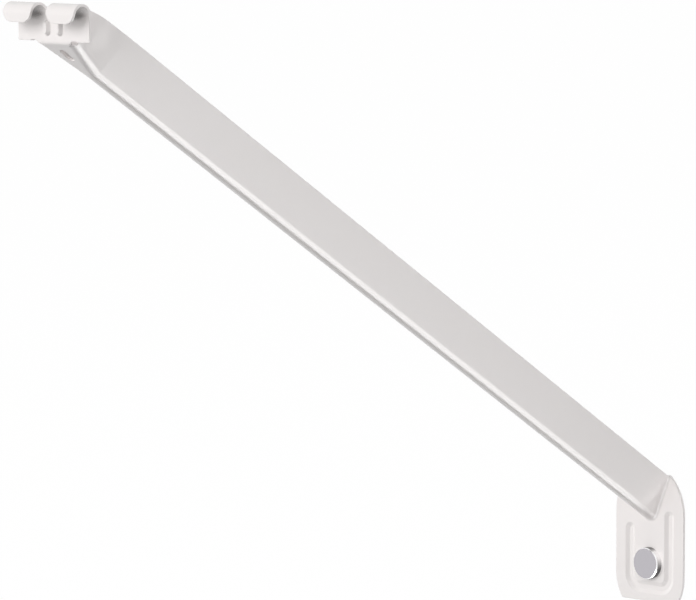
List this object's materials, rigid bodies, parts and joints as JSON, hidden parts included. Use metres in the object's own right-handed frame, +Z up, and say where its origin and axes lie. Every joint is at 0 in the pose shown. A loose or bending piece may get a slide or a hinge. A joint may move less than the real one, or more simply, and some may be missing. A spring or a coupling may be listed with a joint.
{
  "type": "shelf support bracket",
  "caption": "Folded sheet-steel strut: a V-channel arm rises from a pinned wall tab to a split hook that carries the front rod of a wire shelf.",
  "frame": {"origin": "on the axis of the wall fixing, in the wall's surface that the tab's pressed bead bears on", "axes": "+X along the wall, +Y into the wall along the fixing, +Z up; the arm reaches out along -Y and up along +Z"},
  "size_m": [0.0356, 0.3202, 0.2363],
  "materials": {
    "coated_steel": "white epoxy powder coat over stamped sheet steel",
    "plated_steel": "bright nickel plate, flat lapped face and polished rim",
    "nylon": "natural nylon, moulded"
  },
  "bodies": {
    "root": {"bracket_body": "coated_steel", "drive_pin": "plated_steel", "wall_anchor": "nylon"}
  },
  "joints": []
}
